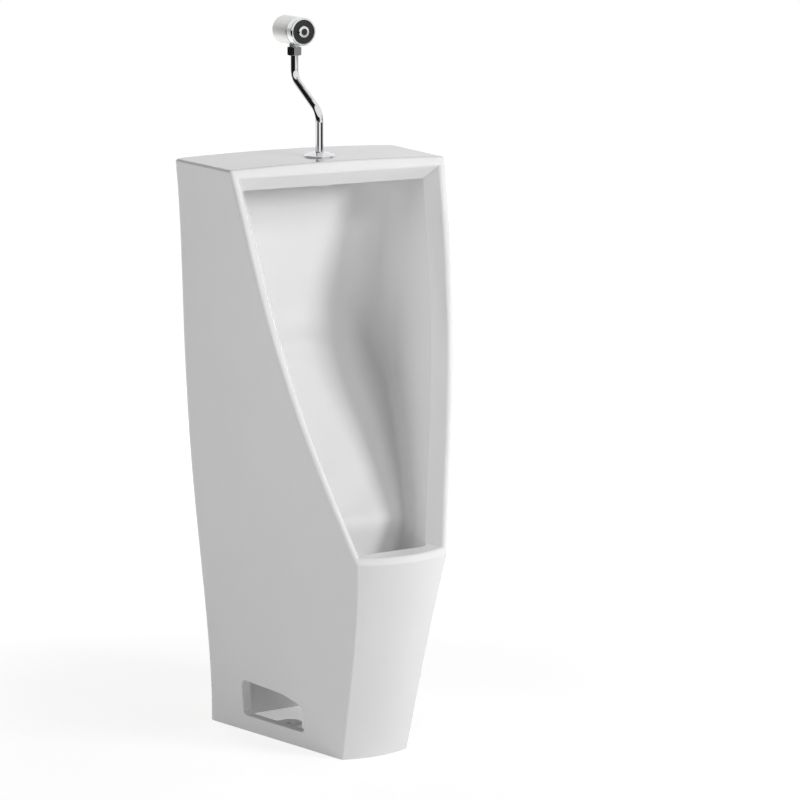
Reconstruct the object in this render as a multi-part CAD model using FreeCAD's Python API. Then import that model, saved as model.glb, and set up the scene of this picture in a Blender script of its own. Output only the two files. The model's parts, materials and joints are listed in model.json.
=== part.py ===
import FreeCAD, Part
import math
import os
from FreeCAD import Vector

# Floor standing urinal with an exposed push button flush valve.
# Millimetres, +Z up, front towards -Y. The origin lies on the floor, at the centre of the footprint's box.
# "Depth" is measured forward from the wall plane that the rear face stands against.

# Ceramic column: outside
body_height = 1000.0
body_depth = 435.0
deck_depth = 197.5
lip_height = 375.0
front_lean = 15.7
front_bow_radius = 170.0
deck_bow = 1.5
deck_crown = 5.0
# Half widths at the wall plane and side tapers, at equal steps of height from floor to deck
rear_half_widths = (159.5, 169.0, 188.0, 201.0, 206.3, 216.2)
side_tapers = (0.2995, 0.2597, 0.2299, 0.1606, 0.0832, 0.0477)
rear_corner_round = 14.0
rear_grind = 0.3
edge_round = 5.5

# Rim, niche, splash ramp and trough
rim_crest = 12.0
rim_bevel_width = 19.0
rim_bevel_depth = 30.0
beam_height = 37.0
beam_crest = 10.0
lip_roll_height = 10.0
lip_roll_depth = 4.0
lip_thickness = 48.0
lip_inner_bevel = 4.0
niche_depth = 50.0
niche_round = 80.0
ramp_angle = 41.0
ramp_start_height = 683.0
cove_radius = 240.0
crease_round = 14.0
bend_radius = 40.0
trough_length = 94.0
trough_floor_height = 318.0
trough_undercut = 4.0
trough_draft = 5.0
trough_corner_round = 22.0
trough_floor_round = 10.0

# Hollow foot, service windows, floor lugs, rear relief
foot_wall = 16.0
bowl_wall = 18.0
foot_hollow_height = 600.0
hollow_round = 16.0
window_rear_depth = 89.5
window_length = 145.0
window_sill = 28.0
window_height = 64.0
window_shoulder = 100.0
window_shoulder_drop = 5.0
window_shoulder_round = 72.0
window_front_drop = 17.0
window_round = 9.0
window_edge_round = 2.5
lug_height = 20.0
lug_radius = 21.0
lug_inset = 26.0
lug_depth = 150.0
lug_hole_radius = 5.5
relief_border = 34.0
relief_depth = 5.0
relief_round = 24.0

# Water inlet through the deck
tube_depth = 125.0
inlet_bore_radius = 17.0
inlet_seal_length = 25.0
seat_gap = 0.05
running_gap = 0.1
lift_gap = 0.3

# Flush tube and its flange
tube_radius = 7.2
tube_wall = 1.0
tube_bend_radius = 28.0
tube_low_bend_height = 74.0
tube_high_bend_height = 125.0
flange_radius = 27.0
flange_height = 7.0
flange_rim = 2.2
flange_skin = 1.6
flange_crown_width = 4.5
flange_crown_round = 4.0

# Spreader under the deck
spreader_radius = 24.0
spreader_drop = 6.5
spreader_plate = 2.0
spreader_neck_length = 10.0
spreader_wall = 2.0
spreader_slots = 7
spreader_slot_width = 5.0

# Flush valve: body along the wall axis
valve_height = 206.0
valve_radius = 24.0
valve_body_length = 51.0
valve_edge_round = 1.5
shroud_wall = 3.2
shroud_depth = 13.0
nipple_radius = 10.48
nipple_bore = 4.5
nipple_setback = 1.0
nipple_engagement = 6.5
nipple_thread_depth = 1.2
filter_radius = 7.4
filter_thickness = 2.0
filter_hole_radius = 0.9
chamber_radius = 9.4
chamber_length = 10.0
seat_radius = 5.5
seat_thickness = 2.0
outlet_chamber_radius = 11.0
outlet_chamber_length = 10.0
bonnet_radius = 17.0
seam_width = 1.6
seam_depth = 1.8
neck_radius = 9.5
neck_length = 13.0
neck_bore = 5.5
tube_insertion = 8.0
cone_seal_length = 2.5
nut_across_flats = 24.0
nut_length = 15.0
nut_lip = 2.5

# Bezel, button and stem
bezel_length = 17.5
bezel_round = 3.0
bezel_boss_radius = 14.0
bezel_boss_length = 5.0
bezel_recess_radius = 20.4
bezel_recess_depth = 4.6
face_ring_thickness = 2.6
button_radius = 10.0
button_stand = 2.2
button_round = 2.0
button_length = 9.0
insert_radius = 5.6
insert_depth = 1.2
stem_radius = 3.0
poppet_radius = 8.0
poppet_thickness = 2.5
poppet_seal_thickness = 1.5
spring_radius = 4.6
spring_wire = 0.8
spring_turns = 6
spring_seat_depth = 10.0
o_ring_wire = 1.8

# Waste through the trough floor
waste_radius = 20.95
waste_bore = 16.5
waste_hole_clearance = 1.6
waste_flange_radius = 32.0
waste_flange_thickness = 4.0
waste_recess_depth = 4.0
waste_tail_length = 54.0
gasket_thickness = 2.0
lower_gasket_thickness = 3.0
slip_washer_thickness = 1.5
locknut_across_flats = 54.0
locknut_thickness = 11.0
strainer_radius = 28.0
strainer_thickness = 1.5
strainer_dome = 5.0
strainer_seat_depth = 2.0
strainer_hole_radius = 2.4
strainer_crown_round = 8.0

# Trap in the foot
pipe_radius = 16.0
pipe_wall = 2.0
trap_bend_radius = 38.0
trap_drop = 22.0
trap_collar_thickness = 3.0
trap_seal_thickness = 2.0
trap_nut_radius = 27.0
trap_nut_lip = 5.0
trap_nut_grip = 20.0
trap_nut_ribs = 12
trap_rib_radius = 2.2
socket_radius = 20.0
socket_length = 18.0
socket_stop = 3.0
socket_rise = 3.0
union_nut_radius = 25.0
union_nut_grip = 12.0
union_nut_lip = 4.0
union_seal_thickness = 3.0
outlet_rise = 6.0
outlet_end_height = 6.0
spigot_length = 40.0
spigot_bead = 2.0

# Worked out from the sizes above
lean = math.radians(front_lean)
ramp = math.radians(ramp_angle)
wall_y = body_depth / 2
shin_height = lip_height - lip_roll_height
trough_front_depth = body_depth - lip_thickness
trough_rear_depth = trough_front_depth - trough_length
base_depth = body_depth - shin_height * math.tan(lean)
lip_depth = body_depth - lip_roll_depth
deck_height = body_height + deck_crown
lip_half_span = 0.66 * front_bow_radius
lip_sag = front_bow_radius - math.sqrt(front_bow_radius ** 2 - lip_half_span ** 2)
deck_half_span = rear_half_widths[-1] + 2 * rear_corner_round
deck_arch_radius = (rear_half_widths[-1] ** 2 + deck_crown ** 2) / (2 * deck_crown)
ceiling_height = body_height - beam_height
rim_wall = rim_crest + rim_bevel_width
cove_top = ramp_start_height + cove_radius * math.tan(ramp / 2)
cove_end = cove_top - cove_radius * math.sin(ramp)
bend_low = (ramp_start_height - (trough_rear_depth - niche_depth) / math.tan(ramp)
            - bend_radius * math.tan(ramp / 2))
bend_high = bend_low + bend_radius * math.sin(ramp)
valve_z = deck_height + valve_height
foot_roof = trough_floor_height - bowl_wall
tube_bore = tube_radius + seat_gap
nipple_front = shroud_depth + nipple_engagement
nipple_root = nipple_radius - nipple_thread_depth
seat_rear = nipple_front + chamber_length
seat_front = seat_rear + seat_thickness
bonnet_rear = seat_front + outlet_chamber_length
outlet_depth = (seat_front + bonnet_rear) / 2
neck_end = valve_z - valve_radius - neck_length
tube_top = neck_end + tube_insertion
tube_end = deck_height - inlet_seal_length + 1
seam_front = valve_body_length + seam_width
bezel_front = seam_front + bezel_length
recess_floor_depth = bezel_front - bezel_recess_depth
button_front = bezel_front + button_stand
button_rear = button_front - button_length
poppet_front = seat_rear - lift_gap - poppet_seal_thickness
poppet_rear = poppet_front - poppet_thickness
stem_rear = poppet_front - poppet_thickness / 2
stem_front = button_rear + button_length / 3
waste_depth = (trough_front_depth + trough_rear_depth) / 2
waste_recess_height = trough_floor_height - waste_recess_depth
waste_flange_height = waste_recess_height + gasket_thickness
waste_top = waste_flange_height + waste_flange_thickness
waste_end = waste_flange_height - waste_tail_length
strainer_rest = waste_top - strainer_seat_depth + lift_gap
washer_top = foot_roof - lower_gasket_thickness
locknut_top = washer_top - slip_washer_thickness
collar_top = waste_end - trap_seal_thickness
collar_low = collar_top - trap_collar_thickness
trap_bend_height = collar_top - trap_drop
trap_rear_depth = waste_depth - 2 * trap_bend_radius
outlet_pipe_depth = trap_rear_depth - 2 * trap_bend_radius
socket_low = trap_bend_height + socket_rise
socket_top = socket_low + socket_length
union_lip_low = socket_top + union_seal_thickness
outlet_bend_height = union_lip_low + union_nut_lip + outlet_rise


def at(x, depth, z):
    return Vector(x, wall_y - depth, z)


def outline(corners, place):
    """Closed wire through corners (u, v, round); place turns u, v into a point."""
    points = [place(u, v) for u, v, _ in corners]
    count = len(points)
    turns = []
    for i, (_, _, radius) in enumerate(corners):
        before, corner, after = points[i - 1], points[i], points[(i + 1) % count]
        if radius == 0:
            turns.append((corner, None, corner))
            continue
        back = (before - corner).normalize()
        on = (after - corner).normalize()
        half = back.getAngle(on) / 2
        reach = radius / math.tan(half)
        middle = corner + (back + on).normalize() * (radius / math.sin(half) - radius)
        turns.append((corner + back * reach, middle, corner + on * reach))
    edges = []
    for i, (start, middle, end) in enumerate(turns):
        if middle is not None:
            edges.append(Part.Arc(start, middle, end).toShape())
        follow = turns[(i + 1) % count][0]
        if end.distanceToPoint(follow) > 1e-6:
            edges.append(Part.LineSegment(end, follow).toShape())
    return Part.Wire(edges)


def plan(corners, z):
    return outline(corners, lambda x, depth: at(x, depth, z))


def mirrored(corners):
    return corners + [(-x, depth, r) for x, depth, r in reversed(corners)]


def turned_up(profile, depth, x=0.0):
    """Revolve (radius, z, round) corners about a vertical axis."""
    wire = outline(profile, lambda r, z: Vector(r, 0, z))
    solid = Part.Face(wire).revolve(Vector(0, 0, 0), Vector(0, 0, 1), 360)
    solid.translate(at(x, depth, 0))
    return solid


def turned_in(profile):
    """Revolve (depth, radius, round) corners about the valve's axis, square to the wall."""
    wire = outline(profile, lambda depth, r: at(r, depth, 0))
    solid = Part.Face(wire).revolve(Vector(0, 0, 0), Vector(0, 1, 0), 360)
    solid.translate(Vector(0, 0, valve_z))
    return solid


def upright(radius, low, high, depth, x=0.0):
    return Part.makeCylinder(radius, high - low, at(x, depth, low))


def level(radius, rear, front):
    return Part.makeCylinder(radius, front - rear, at(0, front, valve_z), Vector(0, 1, 0))


def hexagon(across_flats, low, high, depth):
    """Upright hexagon nut blank with turned chamfers on both ends."""
    corner = across_flats / math.sqrt(3)
    chamfer = 0.10 * across_flats
    turns = [math.radians(60 * k) for k in range(7)]
    points = [at(corner * math.cos(turn), depth + corner * math.sin(turn), low) for turn in turns]
    prism = Part.Face(Part.makePolygon(points)).extrude(Vector(0, 0, high - low))
    cone = turned_up([(0, low, 0), (across_flats / 2, low, 0), (corner, low + chamfer / 2, 0),
                      (corner, high - chamfer / 2, 0), (across_flats / 2, high, 0), (0, high, 0)], depth)
    return prism.common(cone)


def pipe(path, radius):
    """Round bar along a wire that starts vertically."""
    start = path.Vertexes[0].Point
    ring = Part.Wire(Part.makeCircle(radius, start, Vector(0, 0, 1)))
    return path.makePipeShell([ring], True, False)


def edges_where(shape, test):
    picked = []
    for edge in shape.Edges:
        middle = edge.valueAt((edge.FirstParameter + edge.LastParameter) / 2)
        if test(edge, middle.x, wall_y - middle.y, middle.z):
            picked.append(edge)
    return picked


# Ceramic column

def along_height(values, z):
    """Smooth curve through values at equal steps of the body's height."""
    last = len(values) - 1
    step = z / body_height * last
    total = 0.0
    for i, value in enumerate(values):
        share = value
        for k in range(last + 1):
            if k != i:
                share *= (step - k) / (i - k)
        total += share
    return total


def side_half(depth, z):
    return along_height(rear_half_widths, z) - along_height(side_tapers, z) * depth


def side_inset(depth, z, inset):
    return side_half(depth, z) - inset * math.sqrt(1 + along_height(side_tapers, z) ** 2)


def column(inset, low, high):
    """Sides and back as one loft, open-ended well in front of the lip."""
    far = body_depth + 4 * rear_corner_round
    section_count = 9
    wires = []
    for i in range(section_count):
        z = low + (high - low) * i / (section_count - 1)
        rear = inset - rear_grind
        right = [(side_inset(far, z, inset), far, 0), (side_inset(rear, z, inset), rear, rear_corner_round)]
        wires.append(plan(mirrored(right), z))
    return Part.makeLoft(wires, True, False)


def front_section(front, half, sag, z):
    """Bowed front edge with everything behind it."""
    wide = 2 * rear_half_widths[-1]
    behind = -2 * body_depth
    shoulder = front - sag
    corners = [at(half, shoulder, z), at(wide, shoulder, z), at(wide, behind, z),
               at(-wide, behind, z), at(-wide, shoulder, z), at(-half, shoulder, z)]
    edges = [Part.LineSegment(a, b).toShape() for a, b in zip(corners, corners[1:])]
    edges.append(Part.Arc(corners[-1], at(0, front, z), corners[0]).toShape())
    return Part.Wire(edges)


def front_limit(inset):
    """Leaning bowed shin below the lip, sloping opening plane above it."""
    cut = inset / math.cos(lean)
    shin = Part.Face(front_section(base_depth - cut, lip_half_span, lip_sag, 0)).extrude(
        Vector(0, base_depth - body_depth, shin_height))
    nose = front_section(body_depth - cut, lip_half_span, lip_sag, shin_height)
    brow = front_section(lip_depth - cut, lip_half_span, lip_sag, lip_height)
    share = (deck_height - lip_height) / (body_height - lip_height)
    deck = front_section(lip_depth + (deck_depth - lip_depth) * share - cut,
                         lip_half_span + (deck_half_span - lip_half_span) * share,
                         lip_sag + (deck_bow - lip_sag) * share, deck_height)
    roll = Part.makeLoft([nose, brow], True, True)
    slope = Part.makeLoft([brow, deck], True, True)
    return shin.fuse([roll, slope])


def rim_depth(z):
    """Depth of the opening plane at the side panels."""
    share = (z - lip_height) / (body_height - lip_height)
    front = lip_depth + (deck_depth - lip_depth) * share
    sag = lip_sag + (deck_bow - lip_sag) * share
    half = lip_half_span + (deck_half_span - lip_half_span) * share
    depth = front
    for _ in range(20):
        depth = front - sag * (side_half(depth, z) / half) ** 2
    return depth


def back_depth(z):
    """Niche wall, cove, straight ramp and the bend down into the trough."""
    if z >= cove_top:
        return niche_depth
    if z >= cove_end:
        return niche_depth + cove_radius - math.sqrt(cove_radius ** 2 - (cove_top - z) ** 2)
    if z >= bend_high:
        return niche_depth + (ramp_start_height - z) * math.tan(ramp)
    if z >= bend_low:
        return trough_rear_depth - bend_radius + math.sqrt(bend_radius ** 2 - (z - bend_low) ** 2)
    return trough_rear_depth


def back_round(z):
    share = min(max((z - cove_end) / (cove_top - cove_end), 0), 1)
    return crease_round + (niche_round - crease_round) * share


def bevel_line(z, share):
    """Point on the rim's bevel: share 0 at its foot, 1 at the crest, more in front of it."""
    depth = rim_depth(z)
    crest = side_half(depth, z) - rim_crest
    foot_depth = depth - rim_bevel_depth
    foot = side_inset(foot_depth, z, rim_wall)
    return foot + (crest - foot) * share, foot_depth + rim_bevel_depth * share


def niche_section(z):
    back = back_depth(z)
    right = [(*bevel_line(z, 4), 0), (*bevel_line(z, 0), 0),
             (side_inset(back, z, rim_wall), back, back_round(z))]
    return plan(mirrored(right), z)


def bevel_section(z, share):
    return plan(mirrored([(*bevel_line(z, 4), 0), (*bevel_line(z, share), 0)]), z)


def trough_section(z, flare=0.0):
    drop = (lip_height - z) / (lip_height - trough_floor_height)
    front = trough_front_depth + trough_undercut * drop + flare
    draw_in = trough_draft * drop
    right = [(side_inset(front, lip_height, rim_wall) - draw_in, front, trough_corner_round),
             (side_inset(trough_rear_depth, lip_height, rim_wall) - draw_in, trough_rear_depth, crease_round)]
    return plan(mirrored(right), z)


def bowl():
    """Everything that is hollow in front: niche, ramp, trough and the bevels of beam and lip."""
    bend_step = (bend_high - lip_height) / 4
    heights = [lip_height + bend_step * k for k in range(6)]
    rest = ceiling_height - heights[-1]
    heights += [heights[-1] + rest * k / 14 for k in range(1, 15)]
    niche = Part.makeLoft([niche_section(z) for z in heights], True, False)
    trough_top = lip_height - lip_inner_bevel
    trough = Part.makeLoft([trough_section(trough_floor_height), trough_section(trough_top)], True, True)
    floor_edges = edges_where(trough, lambda e, x, d, z: abs(z - trough_floor_height) < 0.01)
    trough = trough.makeFillet(trough_floor_round, floor_edges)
    lip = Part.makeLoft([trough_section(trough_top), trough_section(lip_height, lip_inner_bevel)], True, True)
    past_crest = 1.12
    beam = Part.makeLoft([bevel_section(ceiling_height, 0),
                          bevel_section(body_height - beam_crest, past_crest)], True, True)
    return niche.fuse([trough, lip, beam])


def foot_hollow():
    """Space under the ramp and trough, open to the floor."""
    under = bowl_wall / math.cos(ramp)
    kink_depth = trough_rear_depth - bowl_wall
    kink_height = ramp_start_height - (kink_depth + under - niche_depth) / math.tan(ramp)
    roof_depth = niche_depth - under + (ramp_start_height - foot_hollow_height) * math.tan(ramp)
    below = -body_depth / 10
    reach = 1.5 * body_depth
    corners = [(below, below, 0), (reach, below, 0), (reach, foot_roof, 0),
               (kink_depth, foot_roof, hollow_round / 2), (kink_depth, kink_height, hollow_round),
               (roof_depth, foot_hollow_height, hollow_round), (below, foot_hollow_height, 0)]
    wide = rear_half_widths[-1]
    wire = outline(corners, lambda depth, z: at(-wide, depth, z))
    under_bowl = Part.Face(wire).extrude(Vector(2 * wide, 0, 0))
    return column(foot_wall, 0, deck_height).common(front_limit(foot_wall)).common(under_bowl)


def service_windows():
    """Openings in both sides of the foot, with tops that fall towards the front."""
    wide = rear_half_widths[-1]
    front = window_rear_depth + window_length
    shoulder = window_rear_depth + window_shoulder
    top = window_sill + window_height
    corners = [(window_rear_depth, window_sill, window_round), (front, window_sill, window_round),
               (front, top - window_front_drop, window_round),
               (shoulder, top - window_shoulder_drop, window_shoulder_round),
               (window_rear_depth, top, window_round)]
    wire = outline(corners, lambda depth, z: at(-wide, depth, z))
    return Part.Face(wire).extrude(Vector(2 * wide, 0, 0))


def lug_x():
    return side_inset(lug_depth, lug_height, foot_wall + lug_inset)


def floor_lug(sign):
    """Drilled ledge inside the foot, below the window sill."""
    boss = upright(lug_radius, 0, lug_height, lug_depth, sign * lug_x())
    root = side_inset(lug_depth + lug_radius, 0, foot_wall / 2)
    box = Part.makeBox(root - lug_x(), 2 * lug_radius, lug_height,
                       at(min(sign * lug_x(), sign * root), lug_depth + lug_radius, 0))
    return boss.fuse(box)


def rear_relief():
    low = relief_border
    high = body_height - relief_border
    corners = [(side_half(0, low) - relief_border, low, relief_round),
               (side_half(0, high) - relief_border, high, relief_round)]
    wire = outline(mirrored(corners), lambda x, z: at(x, 0, z))
    return Part.Face(wire).extrude(Vector(0, -relief_depth, 0))


def deck_arch():
    """Everything below the deck's crown, which arches from side to side."""
    middle = deck_height - deck_arch_radius
    return Part.makeCylinder(deck_arch_radius, 4 * body_depth, at(0, 2 * body_depth, middle), Vector(0, 1, 0))


def deck_top(x):
    return deck_height - deck_arch_radius + math.sqrt(deck_arch_radius ** 2 - x ** 2)


def rear_grinding():
    """What is ground off so that the rear stands flat on the wall."""
    wide = 2 * rear_half_widths[-1]
    return Part.makeBox(2 * wide, 10 * rear_grind, 1.2 * body_height, at(-wide, 0, -0.1 * body_height))


def urinal_body():
    solid = column(0, 0, deck_height).common(front_limit(0)).common(deck_arch()).cut(bowl())

    def on_side(x, depth, z):
        return abs(abs(x) - side_half(depth, z)) < 0.6

    def is_rounded(edge, x, depth, z):
        deck = abs(z - deck_top(x)) < 0.05
        crest = on_side(x, depth, z) and depth > deck_depth and edge.Length > body_height / 5
        roll = shin_height - 0.1 < z < lip_height + 0.1
        before_trough = depth > trough_front_depth + 1.5 * lip_inner_bevel
        lip = roll and (before_trough or abs(x) > side_half(depth, z) - rim_crest)
        opening = lip_height + 1 < z < body_height - 1 and abs(depth - rim_depth(z)) < rim_crest
        return deck or crest or lip or (opening and edge.Length > beam_height / 2)

    solid = solid.makeFillet(edge_round, edges_where(solid, is_rounded))
    solid = solid.cut(foot_hollow())
    for sign in (-1, 1):
        solid = solid.fuse(floor_lug(sign))
        solid = solid.cut(upright(lug_hole_radius, -1, lug_height + 1, lug_depth, sign * lug_x()))
    cuts = [
        service_windows(), rear_relief(), rear_grinding(),
        upright(inlet_bore_radius, ceiling_height - beam_height / 2, deck_height + 1, tube_depth),
        upright(waste_radius + waste_hole_clearance, foot_roof - 1, trough_floor_height + 1, waste_depth),
        upright(waste_flange_radius + waste_hole_clearance, waste_recess_height, trough_floor_height + 1,
                waste_depth),
    ]
    solid = solid.cut(cuts)
    window_front = window_rear_depth + window_length
    window_top = window_sill + window_height

    def is_window_edge(edge, x, depth, z):
        in_window = window_rear_depth - 1 < depth < window_front + 1 and window_sill - 1 < z < window_top + 1
        return in_window and on_side(x, depth, z)

    return solid.makeFillet(window_edge_round, edges_where(solid, is_window_edge))


# Water inlet: tube, flange, seal and spreader

def bent_path(points, bend):
    """Wire through points (depth, z) in the middle plane, with rounded corners."""
    edges = []
    start = at(0, *points[0])
    for before, corner, after in zip(points, points[1:], points[2:]):
        before, corner, after = at(0, *before), at(0, *corner), at(0, *after)
        back = (before - corner).normalize()
        on = (after - corner).normalize()
        half = back.getAngle(on) / 2
        reach = bend / math.tan(half)
        middle = corner + (back + on).normalize() * (bend / math.sin(half) - bend)
        if start.distanceToPoint(corner + back * reach) > 1e-6:
            edges.append(Part.LineSegment(start, corner + back * reach).toShape())
        edges.append(Part.Arc(corner + back * reach, middle, corner + on * reach).toShape())
        start = corner + on * reach
    edges.append(Part.LineSegment(start, at(0, *points[-1])).toShape())
    return Part.Wire(edges)


def flush_tube():
    high_bend = deck_height + tube_high_bend_height
    low_bend = deck_height + tube_low_bend_height
    path = bent_path([(outlet_depth, tube_top), (outlet_depth, high_bend), (tube_depth, low_bend),
                      (tube_depth, tube_end)], tube_bend_radius)
    return pipe(path, tube_radius).cut(pipe(path, tube_radius - tube_wall))


def tube_escutcheon():
    skin = flange_skin
    crown = tube_radius + flange_crown_width
    low = deck_height
    high = deck_height + flange_height
    return turned_up([(flange_radius, low, 0), (flange_radius, low + flange_rim, 0.75 * skin),
                      (crown, high, flange_crown_round), (tube_bore, high, 0.3 * skin),
                      (tube_bore, high - skin, 0), (crown - skin / 2, high - skin, flange_crown_round / 2),
                      (flange_radius - skin, low + flange_rim - 0.6 * skin, 0),
                      (flange_radius - skin, low, 0)], tube_depth)


def inlet_seal():
    radius = inlet_bore_radius - seat_gap
    low = deck_height - inlet_seal_length
    return turned_up([(tube_bore, low, 0), (radius, low, 1), (radius, deck_height, 0.6),
                      (tube_bore, deck_height, 0)], tube_depth)


def flush_spreader():
    neck = inlet_bore_radius - seat_gap
    inside = neck - spreader_wall
    low = ceiling_height - spreader_drop
    floor = low + spreader_wall
    top = ceiling_height + spreader_neck_length
    brim = ceiling_height - spreader_plate
    cup = turned_up([(0, low, 0), (spreader_radius - spreader_wall, low, 3), (spreader_radius, brim, 0.8),
                     (spreader_radius, ceiling_height, 0), (neck, ceiling_height, 0), (neck, top, 0.8),
                     (inside, top, 0), (inside, floor, 2), (0, floor, 0)], tube_depth)
    for k in range(spreader_slots):
        slot = Part.makeBox(spreader_radius, spreader_slot_width, brim - floor,
                            Vector(inside / 2, -spreader_slot_width / 2, floor))
        slot.rotate(Vector(0, 0, 0), Vector(0, 0, 1), -90 + 360 * k / spreader_slots)
        slot.translate(at(0, tube_depth, 0))
        cup = cup.cut(slot)
    return cup


# Flush valve

def valve_body():
    shell = turned_in([(0, 0, 0), (0, valve_radius, valve_edge_round),
                       (valve_body_length, valve_radius, valve_edge_round), (valve_body_length, 0, 0)])
    neck = upright(neck_radius, neck_end, valve_z, outlet_depth)
    neck = neck.makeChamfer(0.8, edges_where(neck, lambda e, x, d, z: abs(z - neck_end) < 0.1))
    bores = [
        level(valve_radius - shroud_wall, -1, shroud_depth), level(nipple_root + seat_gap, 0, nipple_front),
        level(chamber_radius, nipple_front, seat_rear), level(seat_radius, seat_rear - 1, seat_front + 1),
        level(outlet_chamber_radius, seat_front, bonnet_rear), level(bonnet_radius, bonnet_rear, seam_front),
        upright(neck_bore, neck_end - 1, valve_z, outlet_depth),
        upright(tube_bore, neck_end - 1, tube_top, outlet_depth),
    ]
    return shell.fuse(neck).cut(bores)


def inlet_nipple():
    pocket = (spring_radius + chamber_radius) / 2
    shoulder = shroud_depth - nipple_thread_depth
    recess = filter_radius + seat_gap
    recess_front = nipple_setback + filter_thickness
    return turned_in([(nipple_setback, recess, 0), (nipple_setback, nipple_radius, 0.8),
                      (shoulder, nipple_radius, 0), (shoulder, nipple_root, 0),
                      (nipple_front, nipple_root, 0), (nipple_front, pocket, 0),
                      (spring_seat_depth, pocket, 0), (spring_seat_depth, nipple_bore, 0),
                      (recess_front, nipple_bore, 0), (recess_front, recess, 0)])


def ring_of_holes(radius, rings, make_hole):
    """Round holes on rings of six, twelve and so on about a centre hole."""
    holes = [make_hole(0, 0)]
    for ring in range(1, rings + 1):
        for k in range(6 * ring):
            turn = math.pi * k / (3 * ring)
            holes.append(make_hole(radius * ring * math.cos(turn), radius * ring * math.sin(turn)))
    return holes


def inlet_filter():
    front = nipple_setback + filter_thickness

    def hole(x, z):
        start = at(x, 1.5 * front, valve_z + z)
        return Part.makeCylinder(filter_hole_radius, 2 * front, start, Vector(0, 1, 0))

    return level(filter_radius, nipple_setback, front).cut(ring_of_holes(2.9, 2, hole))


def valve_poppet():
    boss = spring_radius - spring_wire
    boss_rear = poppet_rear - poppet_thickness
    return turned_in([(boss_rear, 0, 0), (boss_rear, boss, 0.6), (poppet_rear, boss, 0),
                      (poppet_rear, poppet_radius, 0.4), (poppet_front, poppet_radius, 0.4),
                      (poppet_front, stem_radius + seat_gap, 0), (stem_rear, stem_radius + seat_gap, 0),
                      (stem_rear, 0, 0)])


def poppet_seal():
    front = poppet_front + poppet_seal_thickness
    radius = (seat_radius + poppet_radius) / 2 + 0.6
    return turned_in([(poppet_front, stem_radius + seat_gap, 0), (poppet_front, radius, 0),
                      (front, radius, 0.5), (front, stem_radius + seat_gap, 0)])


def button_stem():
    return turned_in([(stem_rear, 0, 0), (stem_rear, stem_radius, 0.4), (stem_front, stem_radius, 0.4),
                      (stem_front, 0, 0)])


def spring_line():
    """Start, pitch and height of the spring's centre line."""
    height = poppet_rear - spring_seat_depth - spring_wire - 2 * seat_gap
    return spring_seat_depth + spring_wire / 2 + seat_gap, height / spring_turns, height


def return_spring():
    start, pitch, height = spring_line()
    helix = Part.makeHelix(pitch, height, spring_radius)
    ring = Part.Wire(Part.makeCircle(spring_wire / 2, Vector(spring_radius, 0, 0),
                                     Vector(0, spring_radius, pitch / (2 * math.pi))))
    coil = Part.Wire(helix).makePipeShell([ring], True, True)
    coil.rotate(Vector(0, 0, 0), Vector(1, 0, 0), 90)
    coil.translate(at(0, start, valve_z))
    return coil


def groove(rear, inner, outer):
    return turned_in([(rear, inner, 0), (rear, outer, 0), (rear + o_ring_wire + running_gap, outer, 0),
                      (rear + o_ring_wire + running_gap, inner, 0)])


def o_ring(rear, middle):
    ring = Part.makeTorus(middle, o_ring_wire / 2, Vector(0, 0, 0), Vector(0, 1, 0))
    ring.translate(at(0, rear + (o_ring_wire + running_gap) / 2, valve_z))
    return ring


bonnet_groove = bonnet_rear + 3
stem_groove = bonnet_groove + 2 * o_ring_wire
bonnet_ring_middle = bonnet_radius - seat_gap - o_ring_wire / 2
stem_ring_middle = stem_radius + running_gap + o_ring_wire / 2


def bonnet():
    bore = stem_radius + running_gap
    plug = bonnet_radius - seat_gap
    boss_front = seam_front + bezel_boss_length
    gland = turned_in([(bonnet_rear + lift_gap, bore, 0), (bonnet_rear + lift_gap, plug, 0.6),
                       (valve_body_length, plug, 0), (valve_body_length, valve_radius - seam_depth, 0),
                       (seam_front, valve_radius - seam_depth, 0), (seam_front, bezel_boss_radius, 0),
                       (boss_front, bezel_boss_radius, 0.6), (boss_front, bore, 0)])
    half = o_ring_wire / 2 + seat_gap
    return gland.cut([groove(bonnet_groove, bonnet_ring_middle - half, bonnet_radius),
                      groove(stem_groove, bore - seat_gap, stem_ring_middle + half)])


def bonnet_o_ring():
    return o_ring(bonnet_groove, bonnet_ring_middle)


def stem_o_ring():
    return o_ring(stem_groove, stem_ring_middle)


def cap_ring():
    boss = bezel_boss_radius + seat_gap
    boss_front = seam_front + bezel_boss_length + seat_gap
    guide = button_radius + running_gap
    return turned_in([(seam_front, boss, 0), (seam_front, valve_radius, 0.8),
                      (bezel_front, valve_radius, bezel_round), (bezel_front, bezel_recess_radius, 0.4),
                      (recess_floor_depth, bezel_recess_radius, 0), (recess_floor_depth, guide, 0),
                      (boss_front, guide, 0), (boss_front, boss, 0)])


def face_ring():
    inner = button_radius + lift_gap + running_gap
    outer = bezel_recess_radius - seat_gap
    front = recess_floor_depth + face_ring_thickness
    return turned_in([(recess_floor_depth, inner, 0), (recess_floor_depth, outer, 0), (front, outer, 0.3),
                      (front, inner, 0.6)])


def push_button():
    pocket = insert_radius + seat_gap
    socket = stem_radius + seat_gap
    return turned_in([(stem_front, 0, 0), (stem_front, socket, 0), (button_rear, socket, 0),
                      (button_rear, button_radius, 0.5), (button_front, button_radius, button_round),
                      (button_front, pocket, 0.2), (button_front - insert_depth, pocket, 0),
                      (button_front - insert_depth, 0, 0)])


def button_insert():
    return turned_in([(button_front - insert_depth, 0, 0), (button_front - insert_depth, insert_radius, 0),
                      (button_front, insert_radius, 0.2), (button_front, 0, 0)])


def outlet_nut():
    low = neck_end - cone_seal_length - nut_lip
    blank = hexagon(nut_across_flats, low, low + nut_length, outlet_depth)
    return blank.cut([upright(tube_bore, low - 1, low + nut_length, outlet_depth),
                      upright(neck_radius + seat_gap, low + nut_lip, low + nut_length + 1, outlet_depth)])


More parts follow.
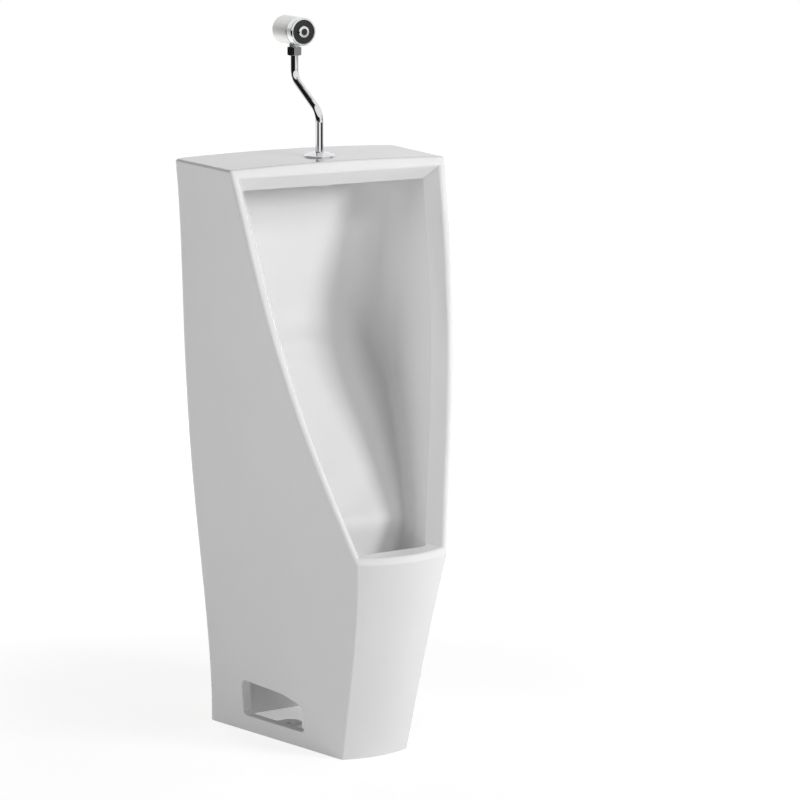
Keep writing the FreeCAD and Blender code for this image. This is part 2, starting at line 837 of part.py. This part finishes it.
def outlet_cone_seal():
    low = neck_end - cone_seal_length
    return turned_up([(tube_bore, low, 0), (neck_radius, low, 0), (neck_radius - 1.2, neck_end, 0),
                      (tube_bore, neck_end, 0)], outlet_depth)


# Waste

def washer(inner, outer, low, high, edge=0.4):
    return turned_up([(inner, low, 0), (outer, low, edge), (outer, high, edge), (inner, high, 0)],
                     waste_depth)


def waste_body():
    seat = strainer_radius + lift_gap
    seat_floor = waste_top - strainer_seat_depth
    return turned_up([(waste_bore, waste_end, 0), (waste_radius, waste_end, 0.8),
                      (waste_radius, waste_flange_height, 0), (waste_flange_radius, waste_flange_height, 0.4),
                      (waste_flange_radius, waste_top, 1.5), (seat, waste_top, 0.4), (seat, seat_floor, 0),
                      (waste_bore, seat_floor, 2)], waste_depth)


def drain_strainer():
    low = strainer_rest
    rim = 0.86 * strainer_radius
    crown = 0.35 * strainer_radius
    top = low + strainer_dome
    skin = strainer_thickness
    dome = turned_up([(rim - skin / 2, low, 1), (strainer_radius, low, 0.3),
                      (strainer_radius, low + skin, 0.5), (rim, low + skin, 2),
                      (crown, top + skin, strainer_crown_round), (0, top + skin, 0), (0, top, 0),
                      (crown - skin / 2, top, strainer_crown_round - skin)], waste_depth)
    pitch = strainer_radius * 0.29

    def hole(x, y):
        return upright(strainer_hole_radius, low - 1, top + 2 * skin, waste_depth - y, x)

    return dome.cut(ring_of_holes(pitch, 2, hole))


def waste_upper_gasket():
    return washer(waste_radius + seat_gap, waste_flange_radius, waste_recess_height, waste_flange_height)


def waste_lower_gasket():
    return washer(waste_radius + seat_gap, waste_flange_radius, washer_top, foot_roof)


def waste_slip_washer():
    return washer(waste_radius + seat_gap, waste_flange_radius - 1, locknut_top, washer_top, 0.2)


def waste_locknut():
    low = locknut_top - locknut_thickness
    blank = hexagon(locknut_across_flats, low, locknut_top, waste_depth)
    return blank.cut(upright(waste_radius + seat_gap, low - 1, locknut_top + 1, waste_depth))


# Trap

def ribbed_nut(radius, low, high, depth):
    """Turned nut with upright half-round grip ribs."""
    blank = turned_up([(0, low, 0), (radius, low, 1.5), (radius, high, 1.5), (0, high, 0)], depth)
    ribs = []
    for k in range(trap_nut_ribs):
        turn = 2 * math.pi * k / trap_nut_ribs
        ribs.append(upright(trap_rib_radius, low + 2, high - 2, depth + radius * math.sin(turn),
                            radius * math.cos(turn)))
    return blank.fuse(ribs)


def trap_inlet_nut():
    low = collar_low - trap_nut_lip
    high = collar_low + trap_nut_grip
    blank = ribbed_nut(trap_nut_radius, low, high, waste_depth)
    return blank.cut([upright(pipe_radius + lift_gap, low - 1, high, waste_depth),
                      upright(waste_radius + running_gap, collar_low, high + 1, waste_depth)])


def trap_inlet_seal():
    return washer(waste_bore, waste_radius - seat_gap, collar_top, waste_end, 0.3)


def trap_u_bend():
    path = bent_path([(waste_depth, collar_top), (waste_depth, trap_bend_height - trap_bend_radius),
                      (trap_rear_depth, trap_bend_height - trap_bend_radius), (trap_rear_depth, socket_top)],
                     trap_bend_radius)
    outer = pipe(path, pipe_radius)
    collar = upright(waste_radius - seat_gap, collar_low, collar_top, waste_depth)
    socket = turned_up([(0, socket_low, 0), (socket_radius, socket_low, 2), (socket_radius, socket_top, 0.5),
                        (0, socket_top, 0)], trap_rear_depth)
    solid = outer.fuse([collar, socket])
    mouth = upright(pipe_radius + seat_gap, socket_low + socket_stop, socket_top + 1, trap_rear_depth)
    return solid.cut([pipe(path, pipe_radius - pipe_wall), mouth])


def trap_union_seal():
    inner = pipe_radius + seat_gap
    return turned_up([(inner, socket_top, 0), (socket_radius, socket_top, 0),
                      (socket_radius, union_lip_low, 0), (inner, union_lip_low, 0)], trap_rear_depth)


def trap_union_nut():
    low = union_lip_low - union_nut_grip
    high = union_lip_low + union_nut_lip
    blank = ribbed_nut(union_nut_radius, low, high, trap_rear_depth)
    return blank.cut([upright(pipe_radius + seat_gap, low, high + 1, trap_rear_depth),
                      upright(socket_radius + seat_gap, low - 1, union_lip_low, trap_rear_depth)])


def trap_outlet_pipe():
    top = outlet_bend_height + trap_bend_radius
    path = bent_path([(trap_rear_depth, socket_low + socket_stop), (trap_rear_depth, top),
                      (outlet_pipe_depth, top), (outlet_pipe_depth, outlet_end_height)], trap_bend_radius)
    low = outlet_end_height + spigot_length
    radius = pipe_radius + spigot_bead
    high = low + 2 * spigot_bead
    soft = spigot_bead / 2
    bead = turned_up([(0, low, 0), (radius, low, soft), (radius, high, soft), (0, high, 0)],
                     outlet_pipe_depth)
    return pipe(path, pipe_radius).fuse(bead).cut(pipe(path, pipe_radius - pipe_wall))


def least_self_gap():
    """Least free distance between neighbouring turns of the spring, measured on points."""
    _, pitch, _ = spring_line()
    step_count = 48
    turns = [2 * math.pi * k / step_count for k in range(step_count * spring_turns + 1)]
    rise = pitch / (2 * math.pi)
    line = [Vector(spring_radius * math.cos(turn), spring_radius * math.sin(turn), rise * turn)
            for turn in turns]
    return min(line[i].distanceToPoint(line[k]) for i in range(len(line))
               for k in range(i + step_count // 2, min(i + 2 * step_count, len(line)))) - spring_wire


pieces = [
    urinal_body, tube_escutcheon, flush_tube, inlet_seal, flush_spreader,
    valve_body, outlet_nut, outlet_cone_seal, inlet_nipple, inlet_filter, bonnet, bonnet_o_ring, stem_o_ring,
    cap_ring, face_ring, push_button, button_insert, button_stem, valve_poppet, poppet_seal, return_spring,
    drain_strainer, waste_body, waste_upper_gasket, waste_lower_gasket, waste_slip_washer, waste_locknut,
    trap_inlet_nut, trap_inlet_seal, trap_u_bend, trap_union_nut, trap_union_seal, trap_outlet_pipe,
]


if __name__ == "__main__":
    os.makedirs("parts", exist_ok=True)
    for piece in pieces:
        shape = piece()
        print(piece.__name__, "valid" if shape.isValid() else "NOT VALID", len(shape.Solids), "solid")
        shape.exportStep("parts/" + piece.__name__ + ".step")
    print("return_spring least gap to itself", round(least_self_gap(), 2), "mm")
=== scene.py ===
import json
import math

import bpy
from mathutils import Matrix, Vector


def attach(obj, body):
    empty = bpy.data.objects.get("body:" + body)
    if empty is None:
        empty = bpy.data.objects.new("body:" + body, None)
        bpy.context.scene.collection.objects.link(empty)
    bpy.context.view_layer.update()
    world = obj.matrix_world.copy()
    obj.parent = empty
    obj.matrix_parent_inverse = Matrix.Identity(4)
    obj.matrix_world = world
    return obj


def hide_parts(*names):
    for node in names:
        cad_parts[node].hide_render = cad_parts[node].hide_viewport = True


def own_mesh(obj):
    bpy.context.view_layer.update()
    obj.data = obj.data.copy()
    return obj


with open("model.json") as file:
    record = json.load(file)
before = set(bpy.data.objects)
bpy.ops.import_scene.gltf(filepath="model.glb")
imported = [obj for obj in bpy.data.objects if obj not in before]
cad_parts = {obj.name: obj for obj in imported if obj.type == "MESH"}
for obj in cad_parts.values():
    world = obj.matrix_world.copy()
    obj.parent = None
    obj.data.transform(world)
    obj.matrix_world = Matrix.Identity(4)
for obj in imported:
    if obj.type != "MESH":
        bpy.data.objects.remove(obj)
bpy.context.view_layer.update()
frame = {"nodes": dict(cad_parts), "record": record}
nodes = frame["nodes"]
print("frame loaded:", len(nodes), "nodes")


def paint(code):  # sRGB hex to linear
    channels = [int(code[i:i + 2], 16) / 255 for i in (1, 3, 5)]
    return [c / 12.92 if c <= 0.04045 else ((c + 0.055) / 1.055) ** 2.4 for c in channels] + [1.0]


def addNode(tree, kind, sockets=None, **settings):
    node = tree.nodes.new(kind)
    for name, value in settings.items():
        setattr(node, name, value)
    for key, value in (sockets or {}).items():
        if isinstance(value, bpy.types.NodeSocket):
            tree.links.new(value, node.inputs[key])
        else:
            node.inputs[key].default_value = value
    return node


def emptyMaterial(name):
    material = bpy.data.materials.new(name)
    material.use_nodes = True
    material.node_tree.nodes.clear()
    return material, material.node_tree


def newMaterial(name, **surface):
    material, tree = emptyMaterial(name)
    shader = addNode(tree, "ShaderNodeBsdfPrincipled", {k.replace("_", " "): v for k, v in surface.items()})
    addNode(tree, "ShaderNodeOutputMaterial", {"Surface": shader.outputs["BSDF"]})
    return material, tree, shader


chinaSettings = {
    "ior": 1.52,
    "glaze": ("#e6e6e6", "#eaeaea"), "gloss": 0.10,
    "cloud": 0.12,  # metres, as are wave and grit
    "wave": 0.030, "waveHeight": 0.002, "waveShare": 0.02,
    "biscuit": ("#d8d5ce", "#e2dfd8"), "biscuitGloss": 0.72, "grit": 0.0025,
    "rearPlane": 0.2120, "footPlane": 0.0008,  # behind and below these the clay is left bare
}


# Vitreous china, slip cast and glazed: even white, clear gloss, very slight waves in the glaze.
# The back and the foot ring are unglazed: dull, slightly warm fired clay. Its grit is drawn coarse to show.
def glazedChina():
    china = chinaSettings
    material, tree, shader = newMaterial("glazedChina", IOR=china["ior"])
    place = addNode(tree, "ShaderNodeTexCoord").outputs["Object"]
    tones = []
    for size, detail, colours in ((china["cloud"], 2.0, china["glaze"]), (china["grit"], 3.0, china["biscuit"])):
        pattern = addNode(tree, "ShaderNodeTexNoise", {"Vector": place, "Scale": 1 / size, "Detail": detail})
        tone = addNode(tree, "ShaderNodeValToRGB", {"Fac": pattern.outputs["Fac"]})
        for element, colour in zip(tone.color_ramp.elements, colours):
            element.color = paint(colour)
        tones.append(tone.outputs["Color"])
    spot = addNode(tree, "ShaderNodeSeparateXYZ", {0: place})
    rear = addNode(tree, "ShaderNodeMath", {0: spot.outputs["Y"], 1: china["rearPlane"]}, operation="GREATER_THAN")
    foot = addNode(tree, "ShaderNodeMath", {0: spot.outputs["Z"], 1: china["footPlane"]}, operation="LESS_THAN")
    bare = addNode(tree, "ShaderNodeMath", {0: rear.outputs[0], 1: foot.outputs[0]}, operation="MAXIMUM")
    colour = addNode(tree, "ShaderNodeMix", {"Factor": bare.outputs[0]}, data_type="RGBA")
    for socket, tone in zip(("A", "B"), tones):
        tree.links.new(tone, [s for s in colour.inputs if s.name == socket and s.type == "RGBA"][0])
    tree.links.new([s for s in colour.outputs if s.type == "RGBA"][0], shader.inputs["Base Color"])
    gloss = addNode(tree, "ShaderNodeMapRange", {
        "Value": bare.outputs[0], "To Min": china["gloss"], "To Max": china["biscuitGloss"]})
    tree.links.new(gloss.outputs["Result"], shader.inputs["Roughness"])
    waves = addNode(tree, "ShaderNodeTexNoise", {"Vector": place, "Scale": 1 / china["wave"], "Detail": 1.0})
    bump = addNode(tree, "ShaderNodeBump", {
        "Height": waves.outputs["Fac"], "Strength": china["waveShare"], "Distance": china["waveHeight"]})
    tree.links.new(bump.outputs["Normal"], shader.inputs["Normal"])
    return material


# Fittings: one even colour, and a grain in the gloss from how the surface was made.
# Grain is in metres. The real marks are too fine to show, so they are drawn at 1 to 4 mm.
finishSettings = {
    # Chromium plate on polished brass: near mirror with hairline polishing marks
    "chromePlate": {"colour": "#dfe0e2", "surface": {"Metallic": 1.0},
                    "grain": 0.004, "detail": 3.0, "gloss": (0.04, 0.09)},
    # Satin chromium on a blasted brass sleeve: soft pale grey, broad highlights
    "satinChrome": {"colour": "#d9d9d8", "surface": {"Metallic": 1.0},
                    "grain": 0.0015, "detail": 2.0, "gloss": (0.30, 0.42)},
    # Black ABS, moulded smooth: deep black with a soft sheen
    "blackAbs": {"colour": "#131314", "surface": {"IOR": 1.53},
                 "grain": 0.001, "detail": 2.0, "gloss": (0.22, 0.34)},
    # EPDM rubber, moulded: matt near black
    "epdmRubber": {"colour": "#262626", "surface": {"IOR": 1.5},
                   "grain": 0.002, "detail": 3.0, "gloss": (0.62, 0.80)},
    # Bare brass, turned: warm yellow metal with fine tool marks
    "turnedBrass": {"colour": "#c9a35a", "surface": {"Metallic": 1.0},
                    "grain": 0.0012, "detail": 2.0, "gloss": (0.20, 0.36)},
    # Stainless steel sheet and wire, brushed: cool grey, broken highlights
    "brushedSteel": {"colour": "#c4c5c6", "surface": {"Metallic": 1.0},
                     "grain": 0.001, "detail": 3.0, "gloss": (0.22, 0.38)},
    # White polypropylene, moulded: slightly waxy off white
    "mouldedPolypropylene": {"colour": "#e9e9e5", "surface": {"IOR": 1.49},
                             "grain": 0.002, "detail": 2.0, "gloss": (0.34, 0.46)},
}


def fittingFinish(name):
    finish = finishSettings[name]
    material, tree, shader = newMaterial(name, Base_Color=paint(finish["colour"]), **finish["surface"])
    place = addNode(tree, "ShaderNodeTexCoord")
    grain = addNode(tree, "ShaderNodeTexNoise", {
        "Vector": place.outputs["Object"], "Scale": 1 / finish["grain"], "Detail": finish["detail"]})
    low, high = finish["gloss"]
    gloss = addNode(tree, "ShaderNodeMapRange", {"Value": grain.outputs["Fac"], "To Min": low, "To Max": high})
    tree.links.new(gloss.outputs["Result"], shader.inputs["Roughness"])
    return material


finishes = {name: fittingFinish(name) for name in finishSettings}
finishes["glazedChina"] = glazedChina()
slotFinishes = {
    "glazed_white": "glazedChina", "chrome_plate": "chromePlate", "satin_chrome": "satinChrome",
    "black_ring": "blackAbs", "dark_insert": "blackAbs", "rubber_black": "epdmRubber",
    "brass_bare": "turnedBrass", "stainless": "brushedSteel", "white_plastic": "mouldedPolypropylene",
}
for part in frame["record"]["subparts"]:
    mesh = nodes[part["node"]].data
    mesh.materials.clear()
    mesh.materials.append(finishes[slotFinishes[part["material_slot"]]])
print("finishes on all nodes")

springSettings = {"node": "return_spring", "slot": "stainless", "joint": "button_press", "body": "fixture"}


# Return spring: a copy of the CAD node's own coil, hung on the fixture body in the node's place
def makeSpring():
    node = springSettings["node"]
    spring = bpy.data.objects.new("returnSpring", nodes[node].data.copy())
    bpy.context.scene.collection.objects.link(spring)
    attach(spring, springSettings["body"])
    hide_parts(node)
    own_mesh(spring)


makeSpring()


# Camera, mirror and glass rays: 1, all others 0
def seenRays(tree):
    path = addNode(tree, "ShaderNodeLightPath")
    seen = path.outputs["Is Camera Ray"]
    for name in ("Is Glossy Ray", "Is Transmission Ray"):
        seen = addNode(tree, "ShaderNodeMath", {0: seen, 1: path.outputs[name]}, operation="MAXIMUM").outputs[0]
    return seen


floorSettings = {
    "half": 12.0, "paper": "#e6e6e6", "shade": 0.26,
    "glow": (0.80, 1.0), "fade": (0.45, 1.5),  # glow near the object and far off, and the two distances
    "foot": ((-0.146, 0.212), (-0.056, -0.105), (0.056, -0.105), (0.146, 0.212)),  # just inside the foot's outline
    "footGlow": 0.34, "footGloss": 0.9,
}


# Pale paper: white to camera and mirrors, dimmed only where the object keeps the light off it.
# The patch inside the hollow foot is paper of its own with a faint glow, which lights the foot's inside.
def makeFloor():
    half = floorSettings["half"]
    mesh = bpy.data.meshes.new("studioFloor")
    far = [(-half, half, 0), (-half, -half, 0), (half, -half, 0), (half, half, 0)]
    near = [(x, y, 0) for x, y in floorSettings["foot"]]
    mesh.from_pydata(far + near, [], [(0, 1, 5, 4), (1, 2, 6, 5), (2, 3, 7, 6), (3, 0, 4, 7), (4, 5, 6, 7)])
    floor = bpy.data.objects.new("studioFloor", mesh)
    bpy.context.scene.collection.objects.link(floor)
    material, tree = emptyMaterial("palePaper")
    paper = addNode(tree, "ShaderNodeBsdfDiffuse", {"Color": paint(floorSettings["paper"])})
    shade = addNode(tree, "ShaderNodeBsdfDiffuse", {"Color": [floorSettings["shade"]] * 3 + [1]})
    place = addNode(tree, "ShaderNodeNewGeometry")
    away = addNode(tree, "ShaderNodeVectorMath", {0: place.outputs["Position"]}, operation="LENGTH")
    level = addNode(tree, "ShaderNodeMapRange", {
        "Value": away.outputs["Value"], "From Min": floorSettings["fade"][0], "From Max": floorSettings["fade"][1],
        "To Min": floorSettings["glow"][0], "To Max": floorSettings["glow"][1]}, interpolation_type="SMOOTHSTEP")
    glow = addNode(tree, "ShaderNodeEmission", {"Strength": level.outputs["Result"]})
    white = addNode(tree, "ShaderNodeAddShader", {0: shade.outputs[0], 1: glow.outputs[0]})
    mix = addNode(tree, "ShaderNodeMixShader", {0: seenRays(tree), 1: paper.outputs[0], 2: white.outputs[0]})
    addNode(tree, "ShaderNodeOutputMaterial", {"Surface": mix.outputs[0]})
    mesh.materials.append(material)
    # Painted light: the paper patch under the foot also glows, to light the foot's inside; it is no lamp.
    under, _, _ = newMaterial(
        "glowingPaperUnderFoot", Base_Color=paint(floorSettings["paper"]), Roughness=floorSettings["footGloss"],
        Emission_Color=(1, 1, 1, 1), Emission_Strength=floorSettings["footGlow"])
    mesh.materials.append(under)
    mesh.polygons[4].material_index = 1


lightSettings = {
    "world": 0.15,
    "lamps": {
        "keySoftbox": {"at": (1.83, -2.62, 1.76), "size": 0.7, "power": 58},
        "highSoftbox": {"at": (0.94, -2.58, 2.60), "size": 0.7, "power": 22},
        "rightSoftbox": {"at": (3.34, -0.59, 0.84), "size": 0.7, "power": 22},
        "leftSoftbox": {"at": (-2.94, -1.70, 0.84), "size": 1.2, "power": 15},
        "leftHighSoftbox": {"at": (-2.90, -0.51, 2.30), "size": 1.2, "power": 18},
        "backSoftbox": {"at": (0, 3.40, 0.90), "size": 1.2, "power": 42},
    },
    "aim": (0, 0, 0.6),
}


def makeLights():
    world = bpy.data.worlds.new("studio")
    bpy.context.scene.world = world
    world.use_nodes = True
    tree = world.node_tree
    tree.nodes.clear()
    level = addNode(tree, "ShaderNodeMapRange", {
        "Value": seenRays(tree), "To Min": lightSettings["world"], "To Max": 1.0})
    sky = addNode(tree, "ShaderNodeBackground", {"Color": (1, 1, 1, 1), "Strength": level.outputs["Result"]})
    addNode(tree, "ShaderNodeOutputWorld", {"Surface": sky.outputs[0]})
    for name, setting in lightSettings["lamps"].items():
        lamp = bpy.data.lights.new(name, "AREA")
        lamp.size = setting["size"]
        lamp.energy = setting["power"]
        holder = bpy.data.objects.new(name, lamp)
        holder.location = setting["at"]
        towards = Vector(lightSettings["aim"]) - Vector(setting["at"])
        holder.rotation_euler = towards.to_track_quat("-Z", "Y").to_euler()
        holder.visible_glossy = False  # mirrors show the white room and the dark flags instead
        bpy.context.scene.collection.objects.link(holder)


cameraSettings = {
    "at": (-2.4306, -4.3499, 1.6234), "azimuth": 30.256, "elevation": 11.611, "roll": 0.290,
    "lens": 134.8, "sensor": 36,
}


def makeCamera():
    camera = bpy.data.objects.new("camera", bpy.data.cameras.new("camera"))
    camera.data.lens = cameraSettings["lens"]
    camera.data.sensor_width = cameraSettings["sensor"]
    turn, rise, roll = (math.radians(cameraSettings[k]) for k in ("azimuth", "elevation", "roll"))
    back = Vector((-math.sin(turn) * math.cos(rise), -math.cos(turn) * math.cos(rise), math.sin(rise)))
    right = Vector((math.cos(turn), -math.sin(turn), 0))
    basis = Matrix((right, back.cross(right), back)).transposed().to_4x4()
    camera.matrix_world = Matrix.Translation(cameraSettings["at"]) @ basis @ Matrix.Rotation(roll, 4, "Z")
    bpy.context.scene.collection.objects.link(camera)
    bpy.context.scene.camera = camera


# Dark flags round the set, seen by mirrors alone: angles from the camera's side, left is negative.
# Each is solid in its middle and thins out to nothing over the last degrees and metres at its edges.
flagSettings = {
    "lowFlag": {"turn": (-134, 22), "radius": 0.45, "z": (1.02, 1.28), "edge": (14, 0.04), "shade": 0.012},
    "rightFlag": {"turn": (88, 130), "radius": 0.45, "z": (1.02, 1.28), "edge": (12, 0.04), "shade": 0.30},
    "highFlag": {"turn": (-132, -84), "radius": 0.47, "z": (1.14, 3.0), "edge": (10, 0.10), "shade": 0.012},
    "nutFlag": {"turn": (54, 90), "radius": 0.44, "z": (1.10, 1.165), "edge": (8, 0.012), "shade": 0.28},
    "footFlagLeft": {"turn": (-78, -14), "radius": 0.46, "z": (0.88, 1.05), "edge": (12, 0.04), "shade": 0.03},
    "footFlagRight": {"turn": (34, 120), "radius": 0.46, "z": (0.88, 1.05), "edge": (12, 0.04), "shade": 0.03},
}


def makeFlag(name):
    setting = flagSettings[name]
    toCamera = math.atan2(cameraSettings["at"][1], cameraSettings["at"][0])
    across, upward = 48, 48  # mesh steps
    corners, faces, cover = [], [], []
    for i in range(across + 1):
        turn = setting["turn"][0] + (setting["turn"][1] - setting["turn"][0]) * i / across
        angle = toCamera + math.radians(turn)
        for j in range(upward + 1):
            z = setting["z"][0] + (setting["z"][1] - setting["z"][0]) * j / upward
            corners.append((setting["radius"] * math.cos(angle), setting["radius"] * math.sin(angle), z))
            inside = 1
            for value, ends, edge in zip((turn, z), (setting["turn"], setting["z"]), setting["edge"]):
                inside *= min(1, min(abs(value - end) for end in ends) / edge)
            cover.append(inside)
            if i and j:
                k = i * (upward + 1) + j
                faces.append((k - upward - 2, k - 1, k, k - upward - 1))
    mesh = bpy.data.meshes.new(name)
    mesh.from_pydata(corners, [], faces)
    mesh.attributes.new("cover", "FLOAT", "POINT").data.foreach_set("value", cover)
    flag = bpy.data.objects.new(name, mesh)
    bpy.context.scene.collection.objects.link(flag)
    material, tree = emptyMaterial(name + "Cloth")
    solid = addNode(tree, "ShaderNodeAttribute", attribute_name="cover")
    cloth = addNode(tree, "ShaderNodeEmission", {"Strength": setting["shade"]})
    clear = addNode(tree, "ShaderNodeBsdfTransparent")
    mix = addNode(tree, "ShaderNodeMixShader", {0: solid.outputs["Fac"], 1: clear.outputs[0], 2: cloth.outputs[0]})
    addNode(tree, "ShaderNodeOutputMaterial", {"Surface": mix.outputs[0]})
    mesh.materials.append(material)
    for ray in ("camera", "diffuse", "shadow", "transmission", "volume_scatter"):
        setattr(flag, "visible_" + ray, False)


makeFloor()
makeLights()
makeCamera()
for flagName in flagSettings:
    makeFlag(flagName)
bpy.context.scene.view_settings.view_transform = "Standard"
print("studio set")
